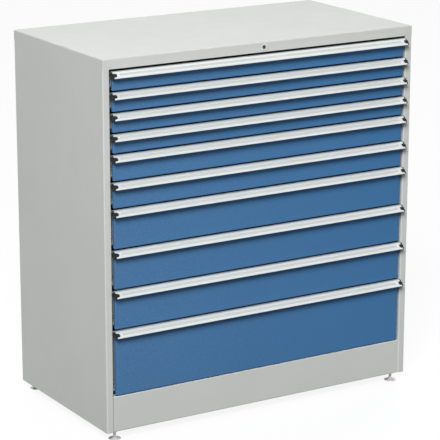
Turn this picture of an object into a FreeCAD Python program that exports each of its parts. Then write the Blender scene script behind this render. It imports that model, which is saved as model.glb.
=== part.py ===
import FreeCAD, Part
import math
import os
import Sketcher

# A steel drawer cabinet: a folded carcass with ten full-width drawers on telescopic slides,
# aluminium label handles and a central lock that works a locking bar behind the drawers.
# Millimetres. X runs across the front, Y from the front to the back, Z up. The origin is on
# the floor, midway between the sides and midway between the handles and the back.

# Driving dimensions: name, value, what it measures
SIZES = [
    ("cabinet_width", 956, "across the two side panels"),
    ("cabinet_depth", 500, "front face of the posts to the back"),
    ("foot_height", 25, "floor to the underside of the carcass"),
    ("base_height", 104, "underside of the carcass to the first drawer division"),
    ("rim_height", 27, "height of the folded rim round the top panel"),
    ("module_height", 18, "unit of all the drawer heights"),
    ("sheet", 1.2, "thickness of the carcass sheet"),
    ("bend_radius", 3, "outer radius of the carcass folds"),
    ("post_width", 20, "width of the front posts"),
    ("post_return", 36, "depth of the fold behind a front post"),
    ("post_lip", 12, "lip that closes the back of a front post"),
    ("rear_flange", 18, "flange of a side panel behind the back panel"),
    ("upright_width", 30, "width of the rear slide upright"),
    ("upright_setback", 30, "rear slide upright to the back of the cabinet"),
    ("rim_return", 20, "fold under the front rim"),
    ("plinth_setback", 2, "plinth behind the face of the posts"),
    ("plinth_gap", 2, "plinth below the lowest drawer front"),
    ("plinth_return", 20, "fold at the top of the plinth"),
    ("base_rear_flange", 40, "upturned rear flange of the base pan"),
    ("seam", 0.5, "gap between the base pan and the posts"),
    ("front_side_gap", 8, "edge of a drawer front to the post beside it"),
    ("front_depth", 8, "depth of the folded edge of a drawer front"),
    ("front_sheet", 1.2, "thickness of a drawer front"),
    ("front_bend", 2, "outer bend radius of a drawer front's folds"),
    ("front_gap", 4.6, "top of a handle to the drawer front above"),
    ("front_drop", 2, "drawer fronts below their divisions"),
    ("lowest_drop", 3.6, "lowest drawer front below its division"),
    ("tray_sheet", 1, "thickness of the drawer tray sheet"),
    ("tray_bend", 2, "bend radius under the tray sides"),
    ("tray_lift", 3, "underside of a tray above its division"),
    ("tray_headroom", 12, "top of a tray side below the next division"),
    ("tray_flange", 8, "outward flange along the tray sides"),
    ("tray_back_room", 40, "rear wall of a tray to the back of the cabinet"),
    ("rail_height", 27, "height of the fixed slide member"),
    ("rail_sheet", 1.2, "thickness of the slide members"),
    ("rail_reach", 12.3, "width of the fixed slide member"),
    ("rail_clearance", 0.4, "running clearance between slide members"),
    ("rail_centre", 20, "centre line of a slide above its division"),
    ("rail_start", 12, "front end of the slides behind the posts' face"),
    ("rail_length", 445, "length of the slide members"),
    ("handle_overhang", 5, "end of the handle extrusion beyond the edge of the drawer front"),
    ("handle_proud", 18, "reach of the handle in front of the drawer front"),
    ("handle_height", 15.4, "height of the handle section"),
    ("handle_top_reach", 4, "flat top of the handle in front of the drawer front"),
    ("nose_height", 4.3, "height of the handle's front lip"),
    ("nose_wall", 2.2, "thickness of the handle's front lip"),
    ("nose_radius", 1, "rounding of the handle's front lip"),
    ("handle_wall", 1.5, "thickness of the handle's other walls"),
    ("handle_hook", 6, "hook of the handle over the drawer front"),
    ("label_depth", 0.8, "depth of the label channel"),
    ("cap_plate", 1.5, "thickness of an end cap's plate"),
    ("cap_bevel", 1, "bevels at the lip of an end cap's plate"),
    ("stud_length", 6, "length of an end cap's stud along the handle"),
    ("stud_inset", 2.4, "stud of an end cap to the end of the extrusion"),
    ("stud_setback", 0.5, "stud of an end cap behind the handle's front lip"),
    ("stud_bevel", 1.2, "bevel along the top of a stud"),
    ("lock_face_radius", 9.5, "radius of the lock's face ring"),
    ("lock_face", 2, "thickness of the lock's face ring"),
    ("lock_barrel_radius", 8, "radius of the lock's barrel"),
    ("lock_barrel_length", 22, "length of the lock's barrel"),
    ("lock_nut_across", 21, "nut behind the rim across its flats"),
    ("lock_nut_length", 4, "thickness of the nut behind the rim"),
    ("plug_radius", 5.5, "radius of the turning plug"),
    ("running_gap", 0.05, "radial clearance of turning parts"),
    ("key_slot_width", 1.8, "width of the key slot"),
    ("key_slot_length", 7, "length of the key slot"),
    ("key_slot_depth", 6, "depth of the key slot"),
    ("key_slot_lean", 35, "lean of the key slot in degrees at rest"),
    ("lock_shaft_radius", 3, "radius of the lock shaft"),
    ("crank_radius", 7, "centre of the lock shaft to the crank pin"),
    ("crank_thickness", 3, "thickness of the crank arm"),
    ("crank_edge", 4.5, "radius of the crank arm's ends"),
    ("crank_pin_radius", 2.5, "radius of the crank pin"),
    ("crank_room", 7, "crank arm to the lock bar"),
    ("hanger_setback", 27, "shaft hanger to the back of the cabinet"),
    ("hanger_width", 20, "width of the shaft hanger"),
    ("hanger_drop", 5, "shaft hanger below the shaft"),
    ("bar_width", 25, "width of the lock bar"),
    ("bar_thickness", 3, "thickness of the lock bar and its hooks"),
    ("bar_clearance", 0.4, "clearance round the lock bar"),
    ("slot_clearance", 0.5, "clearance round the crank pin in its slot"),
    ("slot_edge", 3, "metal above the slot of the lock bar"),
    ("catch_width", 20, "width of a drawer's catch"),
    ("catch_reach", 12, "catch behind the tray"),
    ("catch_height", 30, "top of a catch above its division"),
    ("catch_lip", 9, "height of a catch's turned-down lip"),
    ("catch_sheet", 1.5, "thickness of a catch"),
    ("hook_gap", 3, "tip of a hook below the lip of its catch"),
    ("hook_tip", 5, "depth of a hook's tip"),
    ("hook_tip_height", 8, "height of a hook's tip above its arm"),
    ("hook_arm", 6, "height of a hook's arm"),
    ("hook_room", 4, "tip of a hook behind the tray"),
    ("guide_height", 15, "height of a lock bar guide"),
    ("guide_rise", 38, "lock bar guide above its division"),
    ("guide_sheet", 1.5, "thickness of a lock bar guide"),
    ("foot_inset_side", 32, "foot to the side of the cabinet"),
    ("foot_inset_front", 20, "foot to the front and back of the cabinet"),
    ("foot_pad_radius", 16.5, "radius of a foot's pad"),
    ("foot_pad_edge", 2, "height of the pad's straight edge"),
    ("foot_pad_crown", 6, "height of the pad's cone"),
    ("foot_stem_radius", 4, "radius of a foot's threaded stem"),
    ("foot_stem_rise", 14, "stem above the floor of the base pan"),
    ("foot_nut_across", 13, "lock nut across its flats"),
    ("foot_nut_height", 6.5, "height of the lock nut"),
    ("foot_hole_gap", 0.3, "radial clearance of the stem in the base pan"),
    ("overrun", 1, "how far a cut runs past the faces that it opens"),
]

# Drawer heights from the top down, in modules
DRAWER_UNITS = (3, 3, 3, 3, 4, 4, 6, 6, 6, 10)

# Parts of the handle's sloping face taken by the upper lip, by the label channel and by the
# play on each side of an end cap's tongue in that channel
UPPER_LIP_SHARE = 0.35
LABEL_CHANNEL_SHARE = 0.41
TONGUE_MARGIN_SHARE = 0.02

# Upper and lower ends of an end cap's stud on the handle's sloping face
STUD_TOP_SHARE = 0.45
STUD_FOOT_SHARE = 0.92

# Angle of the crank pin below the horizontal at rest; the lock turns it as far above
CRANK_ANGLE = math.radians(45)


class Size:
    """A number together with the expression that works it out from the sheet of sizes."""

    def __init__(self, number, text):
        self.number = number
        self.text = text

    def __add__(self, other):
        other = as_size(other)
        return Size(self.number + other.number, f"({self.text} + {other.text})")

    def __sub__(self, other):
        other = as_size(other)
        return Size(self.number - other.number, f"({self.text} - {other.text})")

    def __rsub__(self, other):
        return as_size(other) - self

    def __mul__(self, factor):
        return Size(self.number * factor, f"({self.text} * {factor!r})")

    def __truediv__(self, factor):
        return Size(self.number / factor, f"({self.text} / {factor!r})")

    def __neg__(self):
        return Size(-self.number, f"(-1 * {self.text})")

    __radd__ = __add__
    __rmul__ = __mul__


def as_size(value):
    """A plain number as a size."""
    if isinstance(value, Size):
        return value
    return Size(float(value), repr(float(value)))


ZERO = as_size(0)


class Sizes:
    """The sheet of driving dimensions; each one is an attribute under its own name."""

    def __init__(self, doc, rows):
        sheet = doc.addObject("Spreadsheet::Sheet", "sizes")
        for row, (name, value, meaning) in enumerate(rows, start=1):
            sheet.set(f"A{row}", meaning)
            sheet.set(f"B{row}", str(value))
            sheet.setAlias(f"B{row}", name)
            setattr(self, name, Size(float(value), f"sizes.{name}"))


def bind(thing, prop, size):
    """Bind a property to a size."""
    thing.setExpression(prop, as_size(size).text)


def place(thing, x=ZERO, y=ZERO, z=ZERO):
    """Bind a sub-part's place."""
    bind(thing, "Placement.Base.x", x)
    bind(thing, "Placement.Base.y", y)
    bind(thing, "Placement.Base.z", z)


def new_body(doc, name, x=ZERO, y=ZERO, z=ZERO):
    body = doc.addObject("PartDesign::Body", name)
    body.Label = name
    place(body, x, y, z)
    return body


def sketch_on(body, plane, start, name):
    """A sketch on one of the body's origin planes, moved to start along that plane's axis."""
    sketch = body.newObject("Sketcher::SketchObject", name)
    role = [f for f in body.Origin.OriginFeatures if f.Role == plane]
    sketch.AttachmentSupport = (role[0], [""])
    sketch.MapMode = "FlatFace"
    # The normal of the XZ plane points to -Y
    bind(sketch, "AttachmentOffset.Base.z", -start if plane == "XZ_Plane" else start)
    return sketch


def unit(a, b):
    """Unit vector from a to b."""
    return (b - a).normalize()


def outline(sketch, corners):
    """Draw a closed outline through corners, each (x, y) or (x, y, radius).

    A sharp corner joins two lines at a dimensioned point. A round corner is an arc tangent to
    two lines that meet, extended, at a dimensioned construction point.
    """
    corners = [tuple(as_size(c) for c in corner) for corner in corners]
    count = len(corners)
    at = [FreeCAD.Vector(c[0].number, c[1].number, 0) for c in corners]
    ends = []
    centres = []
    for i in range(count):
        before = unit(at[i], at[i - 1])
        after = unit(at[i], at[(i + 1) % count])
        radius = corners[i][2].number if len(corners[i]) > 2 else 0
        half = before.getAngle(after) / 2
        run = radius / math.tan(half)
        ends.append((at[i] + before * run, at[i] + after * run))
        middle = (before + after).normalize()
        centres.append(at[i] + middle * (radius / math.sin(half)))

    lines = []
    for i in range(count):
        line = Part.LineSegment(ends[i][1], ends[(i + 1) % count][0])
        lines.append(sketch.addGeometry(line, False))

    rules = []
    bound = []

    def dimension(kind, geometry, size):
        if kind == "Radius":
            rule = Sketcher.Constraint(kind, geometry, size.number)
        else:
            rule = Sketcher.Constraint(kind, -1, 1, geometry, 1, size.number)
        bound.append((len(rules), size))
        rules.append(rule)

    for i, corner in enumerate(corners):
        before = lines[i - 1]
        after = lines[i]
        if len(corner) == 2:
            rules.append(Sketcher.Constraint("Coincident", before, 2, after, 1))
            dimension("DistanceX", after, corner[0])
            dimension("DistanceY", after, corner[1])
            continue
        point = sketch.addGeometry(Part.Point(at[i]), True)
        rules.append(Sketcher.Constraint("PointOnObject", point, 1, before))
        rules.append(Sketcher.Constraint("PointOnObject", point, 1, after))
        dimension("DistanceX", point, corner[0])
        dimension("DistanceY", point, corner[1])
        first = ends[i][0] - centres[i]
        last = ends[i][1] - centres[i]
        turns_left = first.cross(last).z > 0
        start, stop = (first, last) if turns_left else (last, first)
        circle = Part.Circle(centres[i], FreeCAD.Vector(0, 0, 1), corner[2].number)
        angles = (math.atan2(start.y, start.x), math.atan2(stop.y, stop.x))
        arc = sketch.addGeometry(Part.ArcOfCircle(circle, *angles), False)
        near, far = (1, 2) if turns_left else (2, 1)
        rules.append(Sketcher.Constraint("Tangent", before, 2, arc, near))
        rules.append(Sketcher.Constraint("Tangent", arc, far, after, 1))
        dimension("Radius", arc, corner[2])

    first_rule = sketch.ConstraintCount
    sketch.addConstraint(rules)
    for number, size in bound:
        sketch.setExpression(f"Constraints[{first_rule + number}]", size.text)


def box(x0, x1, y0, y1, radius=None):
    """Corners of a rectangle, with round corners where a radius is given."""
    corners = [(x0, y0), (x1, y0), (x1, y1), (x0, y1)]
    if radius is None:
        return corners
    return [corner + (radius,) for corner in corners]


def hexagon(across_flats):
    """Corners of a hexagon round the origin, two of them on its first axis."""
    reach = across_flats / math.sqrt(3)
    turns = [math.radians(60 * step) for step in range(6)]
    return [(reach * math.cos(turn), reach * math.sin(turn)) for turn in turns]


def circle(sketch, x, y, radius):
    """Draw a circle with a dimensioned centre."""
    x, y, radius = as_size(x), as_size(y), as_size(radius)
    centre = FreeCAD.Vector(x.number, y.number, 0)
    round_line = Part.Circle(centre, FreeCAD.Vector(0, 0, 1), radius.number)
    number = sketch.addGeometry(round_line, False)
    first_rule = sketch.ConstraintCount
    sketch.addConstraint([
        Sketcher.Constraint("DistanceX", -1, 1, number, 3, x.number),
        Sketcher.Constraint("DistanceY", -1, 1, number, 3, y.number),
        Sketcher.Constraint("Radius", number, radius.number),
    ])
    for step, size in enumerate((x, y, radius)):
        sketch.setExpression(f"Constraints[{first_rule + step}]", size.text)


def draw(sketch, shapes):
    """Draw each shape: a list of corners, or a (x, y, radius) circle."""
    for shape in shapes:
        if isinstance(shape, list):
            outline(sketch, shape)
        else:
            circle(sketch, *shape)


def extrude(body, kind, name, plane, start, length, shapes):
    """Pad or pocket the shapes from start to start + length along the plane's own axis."""
    sketch = sketch_on(body, plane, start, f"{name}_sketch")
    draw(sketch, shapes)
    feature = body.newObject(kind, name)
    feature.Profile = sketch
    bind(feature, "Length", length)
    against_normal = plane == "XZ_Plane"
    feature.Reversed = against_normal if kind == "PartDesign::Pad" else not against_normal
    sketch.Visibility = False
    return feature


def pad(body, name, plane, start, length, *shapes):
    return extrude(body, "PartDesign::Pad", name, plane, start, length, shapes)


def pocket(body, name, plane, start, length, *shapes):
    return extrude(body, "PartDesign::Pocket", name, plane, start, length, shapes)


def round_edges(body, base, name, radius, chosen):
    """Fillet the edges of base for which chosen(edge) holds."""
    body.Document.recompute()
    edges = base.Shape.Edges
    names = [f"Edge{i}" for i, edge in enumerate(edges, start=1) if chosen(edge)]
    fillet = body.newObject("PartDesign::Fillet", name)
    fillet.Base = (base, names)
    bind(fillet, "Radius", radius)
    return fillet


def mirrored_pair(doc, name, source, axis, through=ZERO):
    """The source and its mirror image, as two solids of one sub-part."""
    mirror = doc.addObject("Part::Mirroring", f"{name}_mirror")
    mirror.Source = source
    mirror.Normal = FreeCAD.Vector(axis == "x", axis == "y", 0)
    bind(mirror, f"Base.{axis}", through)
    pair = doc.addObject("Part::Compound", name)
    pair.Links = [source, mirror]
    return pair


def channel(x_web, x_lip, z_middle, height, wall):
    """Corners of a C section: a web at x_web, flanges towards x_lip, wall signed that way."""
    low = z_middle - height / 2
    high = z_middle + height / 2
    thick = wall if wall.number > 0 else -wall
    inside = x_web + wall
    return [
        (x_web, low),
        (x_lip, low),
        (x_lip, low + thick),
        (inside, low + thick),
        (inside, high - thick),
        (x_lip, high - thick),
        (x_lip, high),
        (x_web, high),
    ]


class Layout:
    """Places shared by several sub-parts, worked out from the driving dimensions."""

    def __init__(self, s):
        self.half = s.cabinet_width / 2
        self.front = s.handle_proud / 2 - s.cabinet_depth / 2
        self.opening = self.half - s.post_width
        self.front_half = self.opening - s.front_side_gap
        self.handle_half = self.front_half + s.handle_overhang
        self.carcass = s.base_height + s.module_height * sum(DRAWER_UNITS) + s.rim_height
        self.rim_low = self.carcass - s.rim_height
        self.back_face = s.cabinet_depth - s.sheet
        self.inner_bend = s.bend_radius - s.sheet

        self.tray_half = self.opening - s.rail_reach - s.rail_clearance
        self.tray_back = s.cabinet_depth - s.tray_back_room

        self.lock_z = self.carcass - s.rim_height / 2
        self.pin_x = -s.crank_radius * math.cos(CRANK_ANGLE)
        self.pin_drop = s.crank_radius * math.sin(CRANK_ANGLE)
        self.bar_back = self.back_face - s.sheet - s.bar_clearance
        self.bar_front = self.bar_back - s.bar_thickness
        self.crank_back = self.bar_front - s.crank_room

    def division(self, s, drawer):
        """Bottom of a drawer's space above the underside of the carcass."""
        return s.base_height + s.module_height * sum(DRAWER_UNITS[drawer + 1:])


def side_panel(doc, s, at, name, side):
    """Side panel folded into a hollow front post and a rear flange, with its slide upright."""
    body = new_body(doc, name, ZERO, at.front, s.foot_height)
    outer = at.half * side
    wall = s.sheet * side
    post = s.post_width * side
    lip = s.post_lip * side
    section = [
        (outer, ZERO, s.bend_radius),
        (outer, s.cabinet_depth, s.bend_radius),
        (outer - s.rear_flange * side, s.cabinet_depth),
        (outer - s.rear_flange * side, s.cabinet_depth - s.sheet),
        (outer - wall, s.cabinet_depth - s.sheet, at.inner_bend),
        (outer - wall, s.sheet, at.inner_bend),
        (outer - post + wall, s.sheet, at.inner_bend),
        (outer - post + wall, s.post_return - s.sheet, at.inner_bend),
        (outer - post + lip, s.post_return - s.sheet),
        (outer - post + lip, s.post_return),
        (outer - post, s.post_return, s.bend_radius),
        (outer - post, ZERO, s.bend_radius),
    ]
    pad(body, f"{name}_sheet", "XY_Plane", ZERO, at.rim_low, section)

    back = s.cabinet_depth - s.upright_setback
    front = back - s.upright_width
    upright = [
        (outer - wall, front),
        (outer - post, front),
        (outer - post, back),
        (outer - wall, back),
        (outer - wall, back - s.sheet),
        (outer - post + wall, back - s.sheet),
        (outer - post + wall, front + s.sheet),
        (outer - wall, front + s.sheet),
    ]
    rise = s.sheet
    pad(body, f"{name}_upright", "XY_Plane", rise, at.rim_low - rise, upright)
    return body


def top_panel(doc, s, at):
    """Top folded down on all sides, with a return under the front rim and a shaft hanger."""
    body = new_body(doc, "top_panel", ZERO, at.front, s.foot_height)
    outside = box(-at.half, at.half, ZERO, s.cabinet_depth)
    cover = pad(body, "top_cover", "XY_Plane", at.rim_low, s.rim_height, outside)

    def on_top(edge):
        level = at.carcass.number
        return all(abs(v.Z - level) < s.running_gap.number for v in edge.Vertexes)

    round_edges(body, cover, "top_fold", s.bend_radius, on_top)
    left = s.sheet - at.half
    right = at.half - s.sheet
    behind_return = box(left, right, s.rim_return, at.back_face)
    pocket(body, "top_mouth", "XY_Plane", at.rim_low, s.sheet, behind_return)
    inside = box(left, right, s.sheet, at.back_face)
    room = s.rim_height - s.sheet * 2
    pocket(body, "top_hollow", "XY_Plane", at.rim_low + s.sheet, room, inside)
    hole = (ZERO, at.lock_z, s.lock_barrel_radius + s.running_gap)
    pocket(body, "lock_hole", "XZ_Plane", ZERO, s.sheet, hole)

    hanger_low = at.lock_z - s.lock_shaft_radius - s.hanger_drop
    half_hanger = s.hanger_width / 2
    hanger = box(-half_hanger, half_hanger, hanger_low, at.carcass - s.sheet)
    bearing = (ZERO, at.lock_z, s.lock_shaft_radius + s.running_gap)
    hanger_front = s.cabinet_depth - s.hanger_setback
    pad(body, "shaft_hanger", "XZ_Plane", hanger_front, s.sheet, hanger, bearing)
    return body


def back_panel(doc, s, at):
    """Flat back with two guides for the lock bar."""
    body = new_body(doc, "back_panel", ZERO, at.front, s.foot_height)
    side = at.half - s.bend_radius
    sheet_front = at.back_face - s.sheet
    sheet = box(-side, side, s.sheet, at.carcass - s.sheet)
    pad(body, "back_sheet", "XZ_Plane", sheet_front, s.sheet, sheet)

    inner = s.bar_width / 2 + s.bar_clearance
    outer = inner + s.guide_sheet
    web_back = at.bar_front - s.bar_clearance
    web_front = web_back - s.guide_sheet
    loop = [
        (-outer, sheet_front),
        (-outer, web_front),
        (outer, web_front),
        (outer, sheet_front),
        (inner, sheet_front),
        (inner, web_back),
        (-inner, web_back),
        (-inner, sheet_front),
    ]
    for drawer in (0, len(DRAWER_UNITS) - 1):
        low = at.division(s, drawer) + s.guide_rise
        pad(body, f"bar_guide_{drawer + 1:02d}", "XY_Plane", low, s.guide_height, loop)
    return body


def base_pan(doc, s, at):
    """Bottom folded up into the plinth at the front and a flange at the back."""
    body = new_body(doc, "base_pan", ZERO, at.front, s.foot_height)
    front = s.plinth_setback
    back = at.back_face - s.sheet
    rear_flange_top = s.base_rear_flange
    plinth_top = s.base_height - s.lowest_drop - s.plinth_gap
    half_width = at.opening - s.seam
    # Drawn in the YZ plane: y to the right, z up
    section = [
        (front, ZERO, s.bend_radius),
        (back, ZERO, s.bend_radius),
        (back, rear_flange_top),
        (back - s.sheet, rear_flange_top),
        (back - s.sheet, s.sheet, at.inner_bend),
        (front + s.sheet, s.sheet, at.inner_bend),
        (front + s.sheet, plinth_top - s.sheet, at.inner_bend),
        (front + s.plinth_return, plinth_top - s.sheet),
        (front + s.plinth_return, plinth_top),
        (front, plinth_top, s.bend_radius),
    ]
    pad(body, "base_sheet", "YZ_Plane", -half_width, half_width * 2, section)

    # Wings fill the floor on each side, from inside the hollow post to the rear flange
    post_inside = at.opening + s.bend_radius
    lip_end = at.opening + s.post_lip
    lip_front = s.post_return - s.sheet
    wing_out = at.half - s.sheet
    wing_back = s.cabinet_depth - s.bend_radius
    for side, name in ((1, "right_wing"), (-1, "left_wing")):
        wing = [
            (half_width * side, s.post_return),
            (lip_end * side, s.post_return),
            (lip_end * side, lip_front),
            (post_inside * side, lip_front),
            (post_inside * side, s.bend_radius),
            (wing_out * side, s.bend_radius),
            (wing_out * side, wing_back),
            (half_width * side, wing_back),
        ]
        pad(body, name, "XY_Plane", ZERO, s.sheet, wing)

    foot_x = at.half - s.foot_inset_side
    hole = s.foot_stem_radius + s.foot_hole_gap
    feet_y = (s.foot_inset_front, s.cabinet_depth - s.foot_inset_front)
    holes = [(x, y, hole) for x in (-foot_x, foot_x) for y in feet_y]
    pocket(body, "foot_holes", "XY_Plane", ZERO, s.sheet, *holes)
    return body


def levelling_feet(doc, s, at):
    """Four screw feet: a coned pad on a stem, with a lock nut under the base pan."""
    x = at.half - s.foot_inset_side
    foot = new_body(doc, "foot", x, at.front + s.foot_inset_front)
    profile = sketch_on(foot, "XZ_Plane", ZERO, "foot_profile")
    pad_top = s.foot_pad_edge + s.foot_pad_crown
    outline(profile, [
        (ZERO, ZERO),
        (s.foot_pad_radius, ZERO),
        (s.foot_pad_radius, s.foot_pad_edge),
        (s.foot_stem_radius, pad_top),
        (s.foot_stem_radius, s.foot_height + s.foot_stem_rise),
        (ZERO, s.foot_height + s.foot_stem_rise),
    ])
    turned = foot.newObject("PartDesign::Revolution", "foot_turned")
    turned.Profile = profile
    turned.ReferenceAxis = (profile, ["V_Axis"])
    turned.Angle = 360

    nut_low = s.foot_height - s.foot_nut_height
    nut = hexagon(s.foot_nut_across)
    pad(foot, "foot_nut", "XY_Plane", nut_low, s.foot_nut_height, nut)

    front_pair = mirrored_pair(doc, "front_feet", foot, "x")
    middle = at.front + s.cabinet_depth / 2
    return mirrored_pair(doc, "levelling_feet", front_pair, "y", middle)


def slide_member(doc, s, at, name, z, x_web, half_height):
    """A pair of C-section slide members, left and right, at height z."""
    body = new_body(doc, f"{name}_right", ZERO, at.front, z)
    lip = at.opening - s.rail_reach
    section = channel(x_web, lip, s.rail_centre, half_height * 2, -s.rail_sheet)
    pad(body, f"{name}_section", "XZ_Plane", s.rail_start, s.rail_length, section)
    return mirrored_pair(doc, name, body, "x")


def cabinet_rails(doc, s, at):
    """Fixed slide members for every drawer, on the posts and the rear uprights."""
    pairs = []
    for drawer in range(len(DRAWER_UNITS)):
        z = s.foot_height + at.division(s, drawer)
        name = f"fixed_rails_{drawer + 1:02d}"
        pairs.append(slide_member(doc, s, at, name, z, at.opening, s.rail_height / 2))
    rails = doc.addObject("Part::Compound", "cabinet_rails")
    rails.Links = pairs
    return rails


def lock_housing(doc, s, at):
    """Lock body: a face ring, a barrel through the rim and a nut behind it."""
    body = new_body(doc, "lock_housing", ZERO, at.front, s.foot_height + at.lock_z)
    bore = (ZERO, ZERO, s.plug_radius + s.running_gap)
    ring = (ZERO, ZERO, s.lock_face_radius)
    barrel = (ZERO, ZERO, s.lock_barrel_radius)
    pad(body, "lock_ring", "XZ_Plane", -s.lock_face, s.lock_face, ring)
    pad(body, "lock_barrel", "XZ_Plane", ZERO, s.lock_barrel_length, barrel)
    nut = hexagon(s.lock_nut_across)
    pad(body, "lock_nut", "XZ_Plane", s.sheet, s.lock_nut_length, nut)
    through = s.lock_face + s.lock_barrel_length
    pocket(body, "lock_bore", "XZ_Plane", -s.lock_face, through + s.overrun, bore)
    return body


def lock_plug(doc, s, at):
    """Turning plug with its key slot, the shaft to the back, the crank and its pin."""
    body = new_body(doc, "lock_plug", ZERO, at.front, s.foot_height + at.lock_z)
    plug_end = s.lock_barrel_length + s.overrun
    plug = (ZERO, ZERO, s.plug_radius)
    pad(body, "plug", "XZ_Plane", -s.lock_face, s.lock_face + plug_end, plug)
    shaft = (ZERO, ZERO, s.lock_shaft_radius)
    pad(body, "lock_shaft", "XZ_Plane", plug_end, at.crank_back - plug_end, shaft)

    crank_front = at.crank_back - s.crank_thickness
    pin = (at.pin_x, -at.pin_drop)
    hub = (ZERO, ZERO, s.crank_edge)
    arm_end = (*pin, s.crank_edge)
    pad(body, "crank_hub", "XZ_Plane", crank_front, s.crank_thickness, hub)
    pad(body, "crank_end", "XZ_Plane", crank_front, s.crank_thickness, arm_end)
    across = s.crank_edge * math.sin(CRANK_ANGLE)
    along = s.crank_edge * math.cos(CRANK_ANGLE)
    arm = [
        (-across, along),
        (pin[0] - across, pin[1] + along),
        (pin[0] + across, pin[1] - along),
        (across, -along),
    ]
    pad(body, "crank_arm", "XZ_Plane", crank_front, s.crank_thickness, arm)
    pin_length = s.crank_room + s.bar_thickness
    pad(body, "crank_pin", "XZ_Plane", at.crank_back, pin_length, (*pin, s.crank_pin_radius))

    half_slot = s.key_slot_width / 2
    half_length = s.key_slot_length / 2
    slot = box(-half_slot, half_slot, -half_length, half_length)
    cut = pocket(body, "key_slot", "XZ_Plane", -s.lock_face, s.key_slot_depth, slot)
    cut.Profile[0].setExpression("AttachmentOffset.Rotation.Angle", s.key_slot_lean.text)
    return body


def lock_bar(doc, s, at):
    """Upright bar with a slotted head for the crank pin and a hook plate for every drawer."""
    body = new_body(doc, "lock_bar", ZERO, at.front, s.foot_height)
    half_bar = s.bar_width / 2
    pin_z = at.lock_z - at.pin_drop
    half_slot = s.crank_pin_radius + s.slot_clearance
    head = pin_z + half_slot + s.slot_edge
    lip_low = s.catch_height - s.catch_lip
    tip_top = lip_low - s.hook_gap
    arm_top = tip_top - s.hook_tip_height
    arm_low = arm_top - s.hook_arm
    tail = at.division(s, len(DRAWER_UNITS) - 1)
    strip = box(-half_bar, half_bar, tail, head)
    pad(body, "bar_strip", "XZ_Plane", at.bar_front, s.bar_thickness, strip)
    far = -s.crank_radius - half_slot
    near = at.pin_x + half_slot
    slot = box(far, near, pin_z - half_slot, pin_z + half_slot)
    pocket(body, "pin_slot", "XZ_Plane", at.bar_front, s.bar_thickness, slot)

    tip_front = at.tray_back + s.hook_room
    for drawer in range(len(DRAWER_UNITS)):
        low = at.division(s, drawer)
        hook = [
            (tip_front, low + arm_low),
            (at.bar_front, low + arm_low),
            (at.bar_front, low + arm_top),
            (tip_front + s.hook_tip, low + arm_top),
            (tip_front + s.hook_tip, low + tip_top),
            (tip_front, low + tip_top),
        ]
        half_hook = s.bar_thickness / 2
        pad(body, f"hook_{drawer + 1:02d}", "YZ_Plane", -half_hook, half_hook * 2, hook)
    return body


def drawer_tray(doc, s, at, name, z, pitch):
    """Folded sheet tray with the drawer's slide members and the catch for the lock bar."""
    body = new_body(doc, name, ZERO, at.front, z)
    half = at.tray_half
    wall = s.tray_sheet
    low = s.tray_lift
    high = pitch - s.tray_headroom
    edge = half + s.tray_flange
    trough = [
        (-half, low, s.tray_bend),
        (half, low, s.tray_bend),
        (half, high - wall),
        (edge, high - wall),
        (edge, high),
        (half - wall, high),
        (half - wall, low + wall),
        (wall - half, low + wall),
        (wall - half, high),
        (-edge, high),
        (-edge, high - wall),
        (-half, high - wall),
    ]
    length = at.tray_back - s.front_depth
    pad(body, f"{name}_trough", "XZ_Plane", s.front_depth, length, trough)
    end_wall = box(wall - half, half - wall, low, high)
    pad(body, f"{name}_front_wall", "XZ_Plane", s.front_depth, wall, end_wall)
    pad(body, f"{name}_rear_wall", "XZ_Plane", at.tray_back - wall, wall, end_wall)

    nested = (s.rail_sheet + s.rail_clearance) * 2
    reach = at.opening - nested
    height = s.rail_height - nested * 2
    right = channel(half, reach, s.rail_centre, height, s.rail_sheet)
    left = channel(-half, -reach, s.rail_centre, height, -s.rail_sheet)
    pad(body, f"{name}_slides", "XZ_Plane", s.rail_start, s.rail_length, right, left)

    back = at.tray_back
    top = s.catch_height
    thick = s.catch_sheet
    catch = [
        (back, top - thick),
        (back + s.catch_reach - thick, top - thick),
        (back + s.catch_reach - thick, top - s.catch_lip),
        (back + s.catch_reach, top - s.catch_lip),
        (back + s.catch_reach, top),
        (back, top),
    ]
    half_catch = s.catch_width / 2
    pad(body, f"{name}_catch", "YZ_Plane", -half_catch, s.catch_width, catch)
    return body


def drawer_front(doc, s, at, name, z, low, high):
    """Drawer front: a sheet folded back on its four sides."""
    body = new_body(doc, name, ZERO, at.front, z)
    half = at.front_half
    face = box(-half, half, low, high)
    block = pad(body, f"{name}_block", "XZ_Plane", ZERO, s.front_depth, face)

    def on_face(edge):
        level = block.Shape.BoundBox.YMin
        return all(abs(v.Y - level) < s.running_gap.number for v in edge.Vertexes)

    round_edges(body, block, f"{name}_fold", s.front_bend, on_face)
    wall = s.front_sheet
    inside = box(wall - half, half - wall, low + wall, high - wall)
    hollow = s.front_depth - wall
    pocket(body, f"{name}_hollow", "XZ_Plane", wall, hollow, inside)
    return body


def handle_slope(s):
    """Upper and lower ends of the handle's sloping face, as (proud, height) pairs."""
    upper = (s.handle_top_reach, ZERO)
    lower = (s.handle_proud, s.nose_height - s.handle_height)
    return upper, lower


def along_slope(s, share):
    """A point on the handle's sloping face, by the share of the slope above it."""
    upper, lower = handle_slope(s)
    y = upper[0] * (1 - share) + lower[0] * share
    z = upper[1] * (1 - share) + lower[1] * share
    return y, z


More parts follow.
